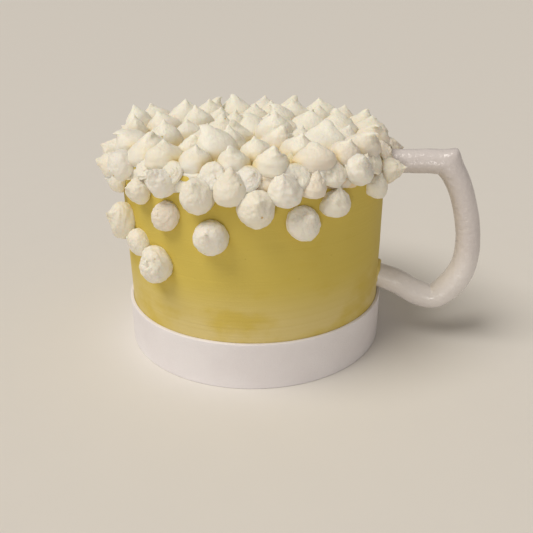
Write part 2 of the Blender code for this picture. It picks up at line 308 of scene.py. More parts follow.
meringue = Finish("meringue", "white_meringue", Specular_IOR_Level=0.4, IOR=1.4, Subsurface_Weight=0.35,
                  Subsurface_Radius=(1.0, 0.8, 0.55), Subsurface_Scale=0.0028)
own_place = meringue.node("ShaderNodeAttribute", {"attribute_name": "own_place"}, output="Vector")
own_tone = meringue.node("ShaderNodeAttribute", {"attribute_name": "own_tone"}, output="Fac")
turns = meringue.noise(meringue.stretched(own_place, TURNS), 1.0, 2.0)
folds = meringue.noise(own_place, FOLDS, 2.0)
wrinkles = meringue.noise(meringue.stretched(own_place, WRINKLES), 1.0, 3.0)
wrinkles = wrinkles * meringue.height(own_place).between(0.3, 0.75)
bubbles = meringue.noise(meringue.place(), BUBBLES, 3.0, 0.6)
pinholes = meringue.spots(meringue.place(), PINHOLES).between(0.10, 0.06)
pinholes = pinholes * meringue.noise(meringue.place(), PINHOLE_AREAS, 1.0).between(0.58, 0.60)
print("folds, turns, wrinkles, bubbles and pinholes:", len(meringue.nodes), "nodes")

# %% Finish: meringue, its colour
across = meringue.node("ShaderNodeVectorMath", {"operation": "LENGTH"}, {0: meringue.place((1.0, 1.0, 0.0))}, "Value")
rise = meringue.height()
# Painted reflection: a mask for the meringues low over the cream.
cream_reflection = rise.between(NO_REFLECTION_ABOVE, REFLECTION_BELOW) * across.between(NO_REFLECTION_BEYOND, REFLECTION_WITHIN)
ivory = meringue.mix(own_tone, WHITE, IVORY)
ivory = meringue.mix(own_tone.between(0.86, 0.9) * 0.4, ivory, ROSY)
ivory = meringue.mix(own_tone.between(1.0, 1.4) * folds.between(0.35, 0.6), ivory, TAN)
# Painted shade: the wrinkles are painted darker.
ivory = meringue.mix(wrinkles * 0.2, ivory, WRINKLE_SHADE)
# Painted light: high up the heap is painted whiter.
ivory = meringue.mix(rise.between(TOP_LIGHT_FROM, TOP_LIGHT_FULL_FROM) * 0.9, ivory, PAINTED_TOP_LIGHT)
# Painted reflection: low over the cream the meringues are painted yellow.
ivory = meringue.mix(cream_reflection * 0.75, ivory, PAINTED_CREAM_REFLECTION)
ivory = meringue.mix(pinholes * 0.8, ivory, PINHOLE_TONE)
relief = turns * 0.35 + folds * 0.7 + wrinkles * 0.9 + bubbles * 0.04 - pinholes * 0.25
meringue.surface(ivory, 0.42 + 0.15 * bubbles, relief, MERINGUE_RELIEF)

# %% [markdown]
# ## Tools for modelling
#
# A primitive is added with everything else deselected, because most operators act on all that is selected. Faces,
# edges and corners are then picked by a test on their place, which is what a hand does with the mouse. A finished
# piece gets its finish, says on which body it rides and hides the solid that it stands for.

# %% Helpers: adding and picking
def add(kind, name, **size):
    """Add a primitive mesh by its operator's name and return it."""
    bpy.ops.object.select_all(action="DESELECT")
    getattr(bpy.ops.mesh, f"primitive_{kind}_add")(**size)
    made = bpy.context.object
    made.name = made.data.name = name
    return made


def edit(piece):
    """Go into edit mode on one piece."""
    bpy.ops.object.select_all(action="DESELECT")
    bpy.context.view_layer.objects.active = piece
    piece.select_set(True)
    bpy.ops.object.mode_set(mode="EDIT")


def pick(piece, domain, wanted):
    """In edit mode, select just the verts, edges or faces that pass the test."""
    bpy.ops.mesh.select_mode(type={"verts": "VERT", "edges": "EDGE", "faces": "FACE"}[domain])
    bpy.ops.mesh.select_all(action="DESELECT")
    shape = bmesh.from_edit_mesh(piece.data)
    for item in getattr(shape, domain):
        if wanted(item):
            item.select_set(True)
    shape.select_flush_mode()
    bmesh.update_edit_mesh(piece.data)


def done():
    bpy.ops.object.mode_set(mode="OBJECT")

# %% Helpers: modifiers and their clouds
def finish_with(piece, kind, **settings):
    """Add a modifier with its settings and apply it."""
    step = piece.modifiers.new(kind.lower(), kind)
    for name, value in settings.items():
        setattr(step, name, value)
    bpy.context.view_layer.objects.active = piece
    bpy.ops.object.modifier_apply(modifier=step.name)


def lumps(name, size, depth=2):
    """A cloud texture for uneven surfaces; size is the width of its lumps in metres."""
    made = bpy.data.textures.new(name, "CLOUDS")
    made.noise_scale = size
    made.noise_depth = depth
    return made

# %% Helpers: a finished piece
def settle(piece):
    """Put the piece's place into its mesh, so that its object is at the origin, unturned."""
    bpy.ops.object.select_all(action="DESELECT")
    bpy.context.view_layer.objects.active = piece
    piece.select_set(True)
    bpy.ops.object.transform_apply(location=True, rotation=True, scale=True)


def finished(piece, finish, stands_for=None, sharp=50.0):
    """Close the piece: normals outward, smooth shading, its finish, its body and its solid."""
    settle(piece)
    edit(piece)
    bpy.ops.mesh.select_all(action="SELECT")
    bpy.ops.mesh.normals_make_consistent(inside=False)
    done()
    bpy.ops.object.shade_smooth_by_angle(angle=math.radians(sharp))
    piece.data.materials.clear()
    piece.data.materials.append(finish.material)
    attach(piece, "root")
    if stands_for:
        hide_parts(stands_for)
    triangles = sum(len(face.vertices) - 2 for face in piece.data.polygons)
    print(piece.name, "has", triangles, "triangles")

# %% [markdown]
# ## The cake
#
# The body could be a turned profile. A cylinder is quicker here: its upright edges are cut into courses, its top is
# inset into rings and its rim is bevelled, and then a Displace modifier with a soft cloud pushes the skin in by up to
# 0.6 mm, as the scraper's pressure does. The foot under the strip stays round.

# %% Cake body
CAKE_RADIUS = 0.0744
CAKE_HEIGHT = 0.114
CAKE_EDGE, EDGE_STEPS = 0.0035, 5
WALL_SIDES, WALL_CUTS = 192, 22
TOP_INSETS = (0.006, 0.008, 0.010, 0.012, 0.012)
SCRAPE_WIDTH, SCRAPE_DEPTH = 0.035, 0.0006
STRIP_HEIGHT = 0.027
CLOSE = 1e-5

cake = add("cylinder", "cake_body", vertices=WALL_SIDES, radius=CAKE_RADIUS, depth=CAKE_HEIGHT,
           location=(0, 0, CAKE_HEIGHT / 2))
settle(cake)
edit(cake)
pick(cake, "edges", lambda edge: abs(edge.verts[0].co.z - edge.verts[1].co.z) > CAKE_HEIGHT / 2)
bpy.ops.mesh.subdivide(number_cuts=WALL_CUTS)
pick(cake, "edges", lambda edge: all(vert.co.z > CAKE_HEIGHT - CLOSE for vert in edge.verts))
bpy.ops.mesh.bevel(offset=CAKE_EDGE, segments=EDGE_STEPS)
for width in TOP_INSETS:
    pick(cake, "faces", lambda face: len(face.verts) == WALL_SIDES and face.normal.z > 0.5)
    bpy.ops.mesh.inset(thickness=width)
pick(cake, "verts", lambda vert: vert.co.z > STRIP_HEIGHT)
bpy.ops.object.vertex_group_assign_new()
done()
finish_with(cake, "DISPLACE", texture=lumps("scrape", SCRAPE_WIDTH), texture_coords="LOCAL",
            strength=SCRAPE_DEPTH, mid_level=1.0, vertex_group=cake.vertex_groups[0].name)
finished(cake, buttercream, "cake")

# %% [markdown]
# ## The strip round the foot
#
# The strip is fondant rolled 1.7 mm thick, cut to a ruler and wrapped round. An open cylinder gets its thickness from
# Solidify, and a bevel rolls its cut edge over. Its upper edge isn't quite level on the real cake, so a cloud moves
# it up and down a little. Where its two ends meet can't be seen, so it is one closed ring.

# %% Strip
STRIP_THICKNESS = 0.0017
STRIP_CUTS = 7
STRIP_LIP, LIP_STEPS, LIP_ZONE = 0.0006, 4, 0.002
STRIP_WAVE, STRIP_WAVE_WIDTH = 0.0007, 0.05

strip = add("cylinder", "foot_strip", vertices=WALL_SIDES, radius=STRIP_RADIUS - STRIP_THICKNESS,
            depth=STRIP_HEIGHT, location=(0, 0, STRIP_HEIGHT / 2), end_fill_type="NOTHING")
settle(strip)
edit(strip)
pick(strip, "edges", lambda edge: abs(edge.verts[0].co.z - edge.verts[1].co.z) > STRIP_HEIGHT / 2)
bpy.ops.mesh.subdivide(number_cuts=STRIP_CUTS)
pick(strip, "verts", lambda vert: vert.co.z > STRIP_HEIGHT / 2)
bpy.ops.object.vertex_group_assign_new()
done()
finish_with(strip, "DISPLACE", texture=lumps("ruler", STRIP_WAVE_WIDTH, 1), texture_coords="LOCAL", direction="Z",
            strength=STRIP_WAVE, mid_level=1.0, vertex_group=strip.vertex_groups[0].name)
finish_with(strip, "SOLIDIFY", thickness=STRIP_THICKNESS, offset=1.0)
edit(strip)
pick(strip, "edges", lambda edge: all(
    vert.co.z > STRIP_HEIGHT - LIP_ZONE and vert.co.xy.length > STRIP_RADIUS - 10 * CLOSE for vert in edge.verts)
    and abs(edge.verts[0].co.z - edge.verts[1].co.z) < STRIP_LIP)
bpy.ops.mesh.bevel(offset=STRIP_LIP, segments=LIP_STEPS)
done()
finished(strip, dry_fondant, "fondant_band")

# %% [markdown]
# ## The handle
#
# The handle is a rolled rope of fondant, bent by hand. It is drawn ring by ring: a circle at the upper root is
# extruded along the route, and each new ring is turned and widened to fit. The route is a list of stations, with the
# rope's radius at each, joined by a smooth curve. Where the baker bent the rope sharply its skin folded: the outside
# of the upper bend stands up in a crease, and the inside of the lower bend folds in.

# %% Handle: the route
HANDLE_ROUTE = (
    (0.0750, 0.1057, 0.0067), (0.0900, 0.1064, 0.0066), (0.1000, 0.1068, 0.0067), (0.1069, 0.1054, 0.0070),
    (0.1132, 0.0968, 0.0068), (0.1188, 0.0825, 0.0067), (0.1228, 0.0640, 0.0068), (0.1225, 0.0475, 0.0073),
    (0.1168, 0.0345, 0.0078), (0.1076, 0.0262, 0.0076), (0.0972, 0.0276, 0.0076), (0.0860, 0.0335, 0.0073),
    (0.0750, 0.0372, 0.0070))
HANDLE_STEPS = 5
HANDLE_SIDES = 24


def smooth_route(stations, steps):
    """Return the points of a Catmull-Rom curve through the stations."""
    padded = [stations[0] * 2 - stations[1], *stations, stations[-1] * 2 - stations[-2]]
    route = []
    for index in range(1, len(padded) - 2):
        before, start, end, after = padded[index - 1:index + 3]
        for step in range(steps):
            t = step / steps
            route.append(0.5 * (
                2 * start + (end - before) * t
                + (2 * before - 5 * start + 4 * end - after) * t ** 2
                + (3 * start - before - 3 * end + after) * t ** 3))
    return route + [stations[-1]]


route = smooth_route([Vector(station) for station in HANDLE_ROUTE], HANDLE_STEPS)
centres = [Vector((x, 0.0, z)) for x, z, _ in route]
widths = [radius for _, _, radius in route]
runs = [(centres[min(i + 1, len(route) - 1)] - centres[max(i - 1, 0)]).normalized() for i in range(len(route))]
bends = [math.atan2(-run.z, run.x) for run in runs]
bends[0] = 0.0
bends[-1] = math.pi
for index in range(1, len(bends)):
    while bends[index] < bends[index - 1] - math.pi:
        bends[index] += math.tau
print("route of", len(route), "rings,", round(1000 * sum((b - a).length for a, b in zip(centres, centres[1:]))), "mm")

# %% Handle: the rope
handle = add("circle", "rope_handle", vertices=HANDLE_SIDES, radius=widths[0], location=centres[0],
             rotation=(0, math.pi / 2, 0), fill_type="NGON")
settle(handle)
edit(handle)
for index in range(1, len(route)):
    step = centres[index] - centres[index - 1]
    turn = bends[index] - bends[index - 1]
    growth = widths[index] / widths[index - 1]
    bpy.ops.mesh.extrude_region_move(TRANSFORM_OT_translate={"value": step})
    bpy.ops.transform.rotate(value=-turn, orient_axis="Y", center_override=centres[index])
    bpy.ops.transform.resize(value=(growth, growth, growth), center_override=centres[index])
done()
print("ends at", [round(1000 * v, 1) for v in handle.data.vertices[-1].co])

# %% Handle: folds, skin and roots
CREASE_STATION, CREASE_OUT, CREASE_HEIGHT, CREASE_REACH, CREASE_FROM = 3, (0.25, 0.0, 1.0), 0.0042, 0.0075, 0.0035
FOLD_STATION, FOLD_OUT, FOLD_DEPTH, FOLD_REACH, FOLD_FROM = 9, (-0.35, 0.0, 1.0), 0.0006, 0.0055, 0.0045
ROOT_DEPTH, ROOT_FLARE, ROOT_ZONE = 0.0022, (1.0, 1.07, 1.07), 0.004
FINGER_WIDTH, FINGER_DEPTH = 0.016, 0.0008


def ring_of(vert):
    """The number of the route's ring that a vertex of the rope belongs to."""
    return min(range(len(centres)), key=lambda i: (vert.co - centres[i]).length)


def fold(station, outward, push, reach, start):
    """Pull the skin of one ring, where it is further out than start, by push along outward."""
    middle = centres[station * HANDLE_STEPS]
    outward = Vector(outward).normalized()
    pick(handle, "verts", lambda vert: ring_of(vert) == station * HANDLE_STEPS
         and (vert.co - middle).dot(outward) > start)
    bpy.ops.transform.translate(value=outward * push, use_proportional_edit=True, proportional_edit_falloff="SHARP",
                                proportional_size=reach)


edit(handle)
fold(CREASE_STATION, CREASE_OUT, CREASE_HEIGHT, CREASE_REACH, CREASE_FROM)
fold(FOLD_STATION, FOLD_OUT, -FOLD_DEPTH, FOLD_REACH, FOLD_FROM)
for root in (centres[0], centres[-1]):
    pick(handle, "faces", lambda face: len(face.verts) == HANDLE_SIDES
         and abs(face.calc_center_median().z - root.z) < ROOT_ZONE)
    bpy.ops.mesh.extrude_region_move(TRANSFORM_OT_translate={"value": (-ROOT_DEPTH, 0, 0)})
    bpy.ops.transform.resize(value=ROOT_FLARE, center_override=root)
done()
finish_with(handle, "SUBSURF", levels=1, render_levels=1)
finish_with(handle, "DISPLACE", texture=lumps("fingers", FINGER_WIDTH), texture_coords="LOCAL",
            strength=FINGER_DEPTH, mid_level=0.5)
finished(handle, moist_fondant, "handle", sharp=70.0)
print("handle from", [round(1000 * v, 1) for v in handle.bound_box[0]], "to",
      [round(1000 * v, 1) for v in handle.bound_box[6]])

# %% [markdown]
# ## Buttercream round the handle's roots
#
# The rope is pushed into the soft buttercream, which comes up round it as an uneven collar, most of all above it. A
# torus is pulled up at its top, pressed back into the wall below and roughened with a cloud.

# %% Collars
COLLAR_THICKNESS, COLLAR_ROOM, COLLAR_SINK = 0.0010, 0.0006, 0.0004
COLLAR_SWELL, COLLAR_SWELL_REACH = (2.4, 1.0, 1.5), 0.008
COLLAR_PRESS, COLLAR_PRESS_REACH = (-0.0011, 0, 0), 0.005
COLLAR_LUMPS, COLLAR_UNEVENNESS = 0.004, 0.0014

for name, root, width in (("lower", centres[-1], widths[-1]), ("upper", centres[0], widths[0])):
    collar = add("torus", f"cream_collar_{name}", major_segments=48, minor_segments=12,
                 major_radius=width + COLLAR_ROOM, minor_radius=COLLAR_THICKNESS,
                 location=(CAKE_RADIUS - COLLAR_SINK, 0, root.z), rotation=(0, math.pi / 2, 0))
    settle(collar)
    edit(collar)
    pick(collar, "verts", lambda vert: vert.co.z > root.z + 0.6 * width)
    bpy.ops.transform.resize(value=COLLAR_SWELL, center_override=(CAKE_RADIUS, 0, root.z + 0.8 * width),
                             use_proportional_edit=True, proportional_edit_falloff="SMOOTH",
                             proportional_size=COLLAR_SWELL_REACH)
    pick(collar, "verts", lambda vert: vert.co.z < root.z + 0.3 * width)
    bpy.ops.transform.translate(value=COLLAR_PRESS, use_proportional_edit=True, proportional_size=COLLAR_PRESS_REACH)
    done()
    finish_with(collar, "DISPLACE", texture=lumps(f"pressed_{name}", COLLAR_LUMPS), texture_coords="LOCAL",
                strength=COLLAR_UNEVENNESS, mid_level=0.5)
    finish_with(collar, "SUBSURF", levels=1, render_levels=1)
    finished(collar, buttercream, sharp=80.0)

# %% [markdown]
# ## One meringue, many ways
#
# A baker holds the bag upright, squeezes, and pulls away: the meringue swells to an onion and ends in a soft tip.
# Each shape below is built like that. A disc is extruded ring by ring through a list of radii and heights, each ring
# may slide sideways to lean the tip and turn to twist it, and the last ring is merged to a point. Dents, folds,
# creases and pleats follow. All are one unit wide and one unit high, so that a place can scale them. Those on top are
# far from the eye and are subdivided once, the others twice.

# %% Meringues: the profiles
ONION = ((0.40, 0.0), (0.48, 0.06), (0.515, 0.15), (0.525, 0.27), (0.515, 0.39), (0.48, 0.51), (0.42, 0.61),
         (0.335, 0.695), (0.235, 0.765), (0.14, 0.825), (0.075, 0.88), (0.035, 0.935), (0.015, 0.99))
SQUAT = ((0.43, 0.0), (0.49, 0.08), (0.52, 0.20), (0.52, 0.35), (0.49, 0.50), (0.42, 0.625), (0.32, 0.72),
         (0.21, 0.79), (0.125, 0.845), (0.07, 0.90), (0.04, 0.95), (0.018, 0.99))
FAT_TIP = ((0.40, 0.0), (0.48, 0.07), (0.515, 0.17), (0.515, 0.30), (0.49, 0.43), (0.43, 0.545), (0.35, 0.64),
           (0.26, 0.72), (0.185, 0.79), (0.13, 0.86), (0.085, 0.925), (0.035, 0.985))
print("rings in each profile:", len(ONION), len(SQUAT), len(FAT_TIP))

# %% Meringues: piping
MERINGUE_SIDES = 14


def pipe(name, rings, lean=(0.0, 0.0), lean_from=0.5, twist=0.0, wobble=0.05, seed=0):
    """Pipe one meringue on the origin: rings are (radius, height), the tip leans and the body twists."""
    draw = random.Random(seed)
    shape = add("circle", name, vertices=MERINGUE_SIDES, radius=rings[0][0], fill_type="NGON")
    edit(shape)
    slide = Vector((0.0, 0.0, 0.0))
    for (radius, height), (wider, higher) in zip(rings, rings[1:]):
        share = max(higher - lean_from, 0.0) / (1.0 - lean_from)
        target = Vector((lean[0], lean[1], 0.0)) * share ** 1.6
        step = Vector((0.0, 0.0, higher - height)) + target - slide
        slide = target
        centre = slide + Vector((0.0, 0.0, higher))
        bpy.ops.mesh.extrude_region_move(TRANSFORM_OT_translate={"value": step})
        grow = wider / radius
        oval = 1.0 + draw.uniform(-wobble, wobble)
        bpy.ops.transform.resize(value=(grow * oval, grow / oval, 1.0), center_override=centre)
        bpy.ops.transform.rotate(value=twist * (higher - height), orient_axis="Z", center_override=centre)
    bpy.ops.mesh.merge(type="CENTER")
    done()
    return shape

# %% Meringues: pressing and crumpling
CRUMPLED_ABOVE, CRUMPLE_LEVEL = 0.45, 0.35


def press(shape, where, reach, push, falloff="SMOOTH"):
    """Push the skin near a place, as a thumb or a neighbour does."""
    edit(shape)
    nearest = min(shape.data.vertices, key=lambda vert: (vert.co - Vector(where)).length).index
    pick(shape, "verts", lambda vert: vert.index == nearest)
    bpy.ops.transform.translate(value=push, use_proportional_edit=True, proportional_edit_falloff=falloff,
                                proportional_size=reach)
    done()


def crumple(shape, levels, depth, size=0.16):
    """Wrinkle the upper part, where the bag's pull has torn and folded the skin."""
    edit(shape)
    pick(shape, "verts", lambda vert: vert.co.z > CRUMPLED_ABOVE)
    bpy.ops.object.vertex_group_assign_new()
    done()
    finish_with(shape, "SUBSURF", levels=levels, render_levels=levels)
    crease = lumps(f"{shape.name}_crease", size, 1)
    crease.cloud_type = "COLOR"
    crease.noise_type = "HARD_NOISE"
    finish_with(shape, "DISPLACE", texture=crease, texture_coords="LOCAL", strength=depth, mid_level=CRUMPLE_LEVEL,
                vertex_group=shape.vertex_groups[0].name)
    return shape

# %% Meringues: drying
FINE_LUMPS, FINE_UNEVENNESS = 0.15, 0.045


def points_of(piece):
    """The piece's vertices as rows of x, y and z."""
    points = np.empty(len(piece.data.vertices) * 3)
    piece.data.vertices.foreach_get("co", points)
    return points.reshape(-1, 3)


def note(piece, name, values):
    """Store a number, or a row of three, for each vertex, so that a finish can read it."""
    if values.ndim == 2:
        piece.data.attributes.new(name, "FLOAT_VECTOR", "POINT").data.foreach_set("vector", values.ravel())
    else:
        piece.data.attributes.new(name, "FLOAT", "POINT").data.foreach_set("value", values)


def dry(shape, unevenness, size=0.35, levels=1):
    """Round the piped shape and let it set a little uneven, then note each point's place on it."""
    if levels:
        finish_with(shape, "SUBSURF", levels=levels, render_levels=levels)
    finish_with(shape, "DISPLACE", texture=lumps(shape.name, size), texture_coords="LOCAL", strength=unevenness,
                mid_level=0.5)
    finish_with(shape, "DISPLACE", texture=lumps(f"{shape.name}_fine", FINE_LUMPS, 1), texture_coords="LOCAL",
                strength=FINE_UNEVENNESS, mid_level=0.5)
    note(shape, "own_place", points_of(shape))
    print(shape.name, "has", len(shape.data.vertices), "vertices")
    return shape

# %% Meringues: the shapes
PLEATED_FROM, PLEATED_TO, PLEAT = 0.42, 0.9, (0.74, 0.74, 1.0)


def shapes(levels):
    """Make the set of shapes: levels is how often each is subdivided."""
    made = {}
    made["upright"] = dry(pipe("upright", ONION, lean=(0.03, 0.0), seed=1), 0.045, levels=levels)
    made["slender"] = dry(pipe("slender", ONION, lean=(0.10, 0.03), lean_from=0.6, seed=2), 0.06, levels=levels)
    made["leaning"] = dry(pipe("leaning", FAT_TIP, (0.20, 0.06), 0.45, 1.2, seed=3), 0.05, levels=levels)
    curled = pipe("curled", FAT_TIP, lean=(0.34, 0.0), lean_from=0.55, twist=0.8, seed=4)
    press(curled, (0.30, 0.0, 1.0), 0.22, (0.06, 0.0, -0.10))
    made["curled"] = dry(curled, 0.05, levels=levels)
    dented = pipe("dented", SQUAT, lean=(-0.12, 0.05), seed=5)
    press(dented, (0.22, -0.10, 0.72), 0.34, (-0.06, 0.03, -0.20))
    press(dented, (-0.05, 0.20, 0.75), 0.20, (0.0, -0.03, -0.07), "SHARP")
    made["dented"] = dry(crumple(dented, levels, 0.05), 0.05, levels=0)
    made["squat"] = dry(pipe("squat", SQUAT, lean=(0.05, -0.08), seed=6), 0.05, levels=levels)
    pressed = pipe("pressed", SQUAT, lean=(0.10, 0.10), seed=7)
    press(pressed, (0.0, 0.0, 1.0), 0.34, (0.0, 0.0, -0.16))
    press(pressed, (-0.25, 0.15, 0.6), 0.25, (0.05, -0.03, -0.08), "SHARP")
    made["pressed"] = dry(crumple(pressed, levels, 0.10), 0.06, levels=0)
    folded = pipe("folded", FAT_TIP, (0.16, -0.10), 0.3, 3.2, 0.12, seed=8)
    press(folded, (0.28, 0.12, 0.55), 0.22, (-0.09, -0.04, 0.0), "SHARP")
    press(folded, (-0.20, -0.22, 0.60), 0.20, (0.07, 0.07, 0.0), "SHARP")
    made["folded"] = dry(crumple(folded, levels, 0.06), 0.04, levels=0)
    torn = pipe("torn", SQUAT, (0.15, 0.05), 0.3, wobble=0.14, seed=10)
    press(torn, (0.0, 0.0, 1.0), 0.5, (0.0, 0.0, -0.30))
    press(torn, (0.30, 0.15, 0.6), 0.30, (-0.05, -0.02, -0.22), "SHARP")
    press(torn, (-0.25, -0.25, 0.5), 0.28, (0.08, 0.08, -0.05), "SHARP")
    made["torn"] = dry(crumple(torn, levels, 0.16, 0.42), 0.16, 0.40, levels=0)
    pleated = pipe("pleated", ONION, (0.06, 0.0), seed=9)
    edit(pleated)
    pick(pleated, "verts", lambda vert: vert.index % 2 and PLEATED_FROM < vert.co.z < PLEATED_TO)
    bpy.ops.transform.resize(value=PLEAT, center_override=(0.03, 0.0, 0.7))
    done()
    made["pleated"] = dry(pleated, 0.05, levels=levels)
    return made


far = shapes(1)
near = shapes(2)

# %% [markdown]
# ## Where the meringues lie
#
# They aren't placed one by one: a rule with a seed gives each its foot, direction, width and height. Five rings cover
# the top, flat ones fill the corner at the rim, and the rows on the wall follow a list of angles, drops below the
# rim, widths and directions. The draws come in the same order as in the solids, so both have their meringues in the
# same places. Rings leave gaps, which a baker closes with small dabs. They could be placed by chance until one fits,
# but it is surer to measure the room on a fine grid and to fill the widest gap each time, until only narrow ones are
# left.

# %% Places: on top
SEED = 7
STEP_JITTER, REACH_JITTER, SIZE_SPREAD = 0.14, 0.0022, (0.84, 1.12)
TOP_DIAMETER, TOP_PITCH, TOP_RINGS = 0.0201, 0.0185, 5
TOP_RIM_RADIUS, TOP_RIM_START, TOP_RING_TURN, TOP_RING_STEP = 0.0660, -85.4, 94.0, 0.0162
TOP_LEAN, TOP_HEIGHT, HEIGHT_SPREAD = (-0.05, 0.3), (0.76, 0.98), (0.96, 1.04)
RIM_HEIGHTS = (
    0.0150, 0.0145, 0.0140, 0.0144, 0.0150, 0.0160, 0.0145, 0.0142, 0.0146, 0.0172, 0.0174,
    0.0155, 0.0176, 0.0174, 0.0172, 0.0172, 0.0202, 0.0170, 0.0148, 0.0142, 0.0138, 0.0132)


def direction_out(angle):
    """Return the level direction that leaves the cake's axis at an angle in radians."""
    return Vector((math.cos(angle), math.sin(angle), 0.0))


def top_places(draw):
    """Yield the places of each ring, from the rim inward."""
    for ring in range(TOP_RINGS):
        radius = TOP_RIM_RADIUS - ring * TOP_RING_STEP
        count = max(round(math.tau * radius / TOP_PITCH), 1)
        start = math.radians(TOP_RIM_START + ring * TOP_RING_TURN)
        for index in range(count):
            out = direction_out(start + math.tau * (index + draw.uniform(-STEP_JITTER, STEP_JITTER)) / count)
            foot = out * (radius + draw.uniform(-REACH_JITTER, REACH_JITTER)) + Vector((0, 0, CAKE_HEIGHT))
            lean = out * draw.uniform(*TOP_LEAN) * radius / TOP_RIM_RADIUS
            diameter = TOP_DIAMETER * draw.uniform(*SIZE_SPREAD)
            height = diameter * draw.uniform(*TOP_HEIGHT)
            if ring == 0:
                height = RIM_HEIGHTS[index] * draw.uniform(*HEIGHT_SPREAD)
            yield foot, (lean + Vector((0, 0, 1))).normalized(), diameter, height


head_draw = random.Random(SEED)
top = list(top_places(head_draw))
print("meringues on top:", len(top))

# %% Places: in the corner at the rim
CORNER_COUNT, CORNER_DIAMETER, CORNER_INSET = 25, 0.0148, 0.0008
CORNER_RISE, CORNER_HEIGHT = (0.6, 1.2), (0.36, 0.56)


def corner_places(draw):
    """Yield flat places on the edge between the top and the wall."""
    for index in range(CORNER_COUNT):
        out = direction_out(math.tau * (index + 0.5 + draw.uniform(-STEP_JITTER, STEP_JITTER)) / CORNER_COUNT)
        foot = out * (CAKE_RADIUS - CORNER_INSET) + Vector((0, 0, CAKE_HEIGHT - CORNER_INSET))
        direction = (out + Vector((0, 0, draw.uniform(*CORNER_RISE)))).normalized()
        diameter = CORNER_DIAMETER * draw.uniform(*SIZE_SPREAD)
        yield foot, direction, diameter, diameter * draw.uniform(*CORNER_HEIGHT)


corner_fill = list(corner_places(head_draw))
print("meringues in the corner:", len(corner_fill))

# %% Places: on the wall
FRINGE = (
    (-12.0, 0.0095, 0.0150, 8.0), (-23.0, 0.0165, 0.0145, 66.0), (-36.0, 0.0040, 0.0165, 46.0),
    (-47.0, 0.0188, 0.0165, 70.0), (-56.5, 0.0088, 0.0138, 76.0), (-67.0, 0.0090, 0.0178, 60.0),
    (-77.5, 0.0160, 0.0186, 36.0), (-86.3, 0.0085, 0.0182, 63.0), (-98.0, 0.0122, 0.0172, 48.0),
    (-112.5, 0.0080, 0.0150, 55.0), (-126.0, 0.0135, 0.0145, 22.0), (-138.0, 0.0050, 0.0165, 42.0),
    (-152.0, 0.0085, 0.0160, 6.0), (-166.0, 0.0060, 0.0160, 30.0), (-179.0, 0.0100, 0.0165, 30.0),
    (-149.0, 0.0145, 0.0145, 12.0))
LOOSE = (
    (-60.4, 0.0240, 0.0168, 24.0), (-93.5, 0.0300, 0.0170, 16.0), (-112.6, 0.0225, 0.0155, 16.0),
    (-118.5, 0.0500, 0.0182, 12.0), (-130.0, 0.0420, 0.0145, 12.0), (-142.5, 0.0352, 0.0187, 14.0))
FRINGE_HEIGHT, LOOSE_HEIGHT = (0.76, 1.0), (0.62, 0.84)
BACK_START, BACK_END, BACK_SHIFT, BACK_LIFT = 20.0, 175.0, 4.0, 0.003


def wall_meringue(angle, drop, diameter, rise, share):
    """Place a meringue on the cake's wall; share is its height as a share of its diameter."""
    out = direction_out(math.radians(angle))
    tilt = math.radians(rise)
    foot = out * CAKE_RADIUS + Vector((0, 0, CAKE_HEIGHT - drop))
    direction = out * math.cos(tilt) + Vector((0, 0, math.sin(tilt)))
    return foot, direction, diameter, diameter * share


def both_sides(rows):
    """Yield the front's rows, and again mirrored and shifted for the back."""
    yield from rows
    for angle, drop, diameter, rise in rows:
        if abs(angle) < BACK_END:
            shift = BACK_SHIFT if abs(angle) > BACK_START else 0.0
            yield shift - angle, max(drop - BACK_LIFT, BACK_LIFT), diameter, rise


fringe = [wall_meringue(*row, head_draw.uniform(*FRINGE_HEIGHT)) for row in both_sides(FRINGE)]
loose_draw = random.Random(SEED + 1)
loose = [wall_meringue(*row, loose_draw.uniform(*LOOSE_HEIGHT)) for row in both_sides(LOOSE)]
print("meringues over the rim:", len(fringe), "and alone:", len(loose))

# %% Places: in the gaps
GAP_STEP, GAP_LEAST, GAP_OVERLAP, GAP_LEAN, GAP_HEIGHT = 0.001, 0.0011, 0.0045, 0.35, (0.65, 0.95)


def gap_places(taken, draw):
    """Find the widest gap on the top again and again, and yield a small place for each."""
    line = np.arange(-TOP_RIM_RADIUS, TOP_RIM_RADIUS, GAP_STEP)
    spots = np.stack(np.meshgrid(line, line), -1).reshape(-1, 2)
    spots = spots[np.hypot(*spots.T) < TOP_RIM_RADIUS]
    room = np.full(len(spots), CAKE_RADIUS)
    for foot, _, diameter, _ in taken:
        room = np.minimum(room, np.hypot(*(spots - foot.xy).T) - diameter / 2)
    while room.max() > GAP_LEAST:
        spot = spots[room.argmax()]
        diameter = 2 * room.max() + GAP_OVERLAP
        direction = Vector((draw.uniform(-GAP_LEAN, GAP_LEAN), draw.uniform(-GAP_LEAN, GAP_LEAN), 1.0)).normalized()
        yield Vector((*spot, CAKE_HEIGHT)), direction, diameter, diameter * draw.uniform(*GAP_HEIGHT)
        room = np.minimum(room, np.hypot(*(spots - spot).T) - diameter / 2)


gap_draw = random.Random(SEED + 3)
small = list(gap_places(top + corner_fill, gap_draw))
print("small meringues:", len(small))

# %% [markdown]
# ## The web under the rim
#
# The meringues at the rim were piped so close that their feet ran together into a web, with ragged edges. Most of it
# is covered, and it shows white between them. Clouds pull both edges of a belt of wall up and down, its upper edge is
# drawn in under the heap, and it gets its thickness from Solidify and is roughened. Near the handle there is no web.

